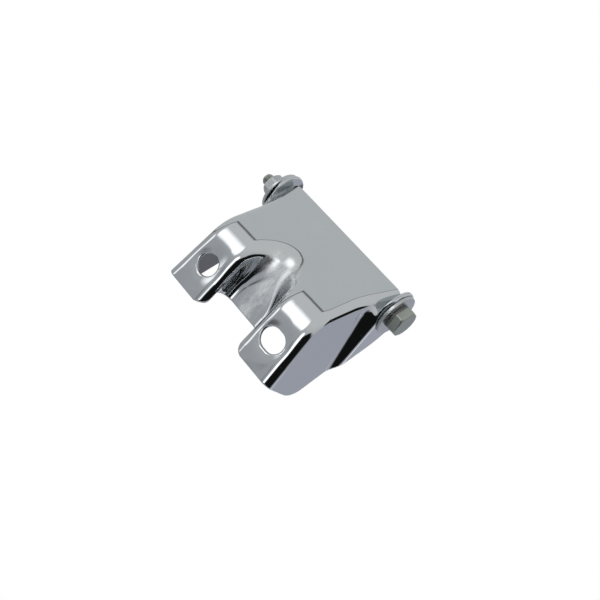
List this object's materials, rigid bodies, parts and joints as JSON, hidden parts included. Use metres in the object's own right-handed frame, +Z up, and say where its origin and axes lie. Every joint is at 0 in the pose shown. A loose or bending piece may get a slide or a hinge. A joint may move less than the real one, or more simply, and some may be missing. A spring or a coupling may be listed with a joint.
{
  "type": "tube mounting bracket",
  "caption": "Pressed steel bracket with two bolt lugs astride a half round tube seat, and two joggled ears that carry a cross bolt with washers and a nut.",
  "frame": {"origin": "on the front face of the lugs, midway between the two lug holes, which is also on the axis of the half round tube seat", "axes": "+X across the bracket along the cross bolt, towards the bolt head; +Y to the rear, away from the surface the lugs seat on; +Z up along the tube seat"},
  "size_m": [0.1018, 0.0516, 0.0688],
  "materials": {
    "chrome_plate": "bright chrome over polished pressed steel",
    "bolt_zinc": "dull zinc plate",
    "washer_steel": "bright zinc plate",
    "spring_steel": "dark spring steel",
    "nut_zinc": "zinc plate"
  },
  "bodies": {
    "bracket": {"bracket_body": "chrome_plate"},
    "bolt": {"pivot_bolt": "bolt_zinc", "head_lock_washer": "spring_steel"},
    "head_washer": {"head_flat_washer": "washer_steel"},
    "nut_washer": {"nut_flat_washer": "washer_steel"},
    "nut": {"hex_nut": "nut_zinc", "nut_lock_washer": "spring_steel"}
  },
  "joints": [
    {"name": "bolt_turn", "type": "hinge", "parent": "bracket", "child": "bolt", "pos_m": [0, 0.04, 0.0397], "axis": [1, 0, 0], "range_deg": [0, 1400]},
    {"name": "nut_travel", "type": "slide", "parent": "bracket", "child": "nut", "axis": [-1, 0, 0], "range_m": [0, 0.0039]},
    {"name": "head_washer_spin", "type": "hinge", "parent": "bracket", "child": "head_washer", "pos_m": [0.0418, 0.04, 0.0397], "axis": [1, 0, 0], "continuous": true},
    {"name": "nut_washer_spin", "type": "hinge", "parent": "bracket", "child": "nut_washer", "pos_m": [-0.042, 0.04, 0.0397], "axis": [1, 0, 0], "continuous": true}
  ],
  "couplings": [
    {"joint": "nut_travel", "follows": "bolt_turn", "m_per_rad": 0.00015915}
  ]
}
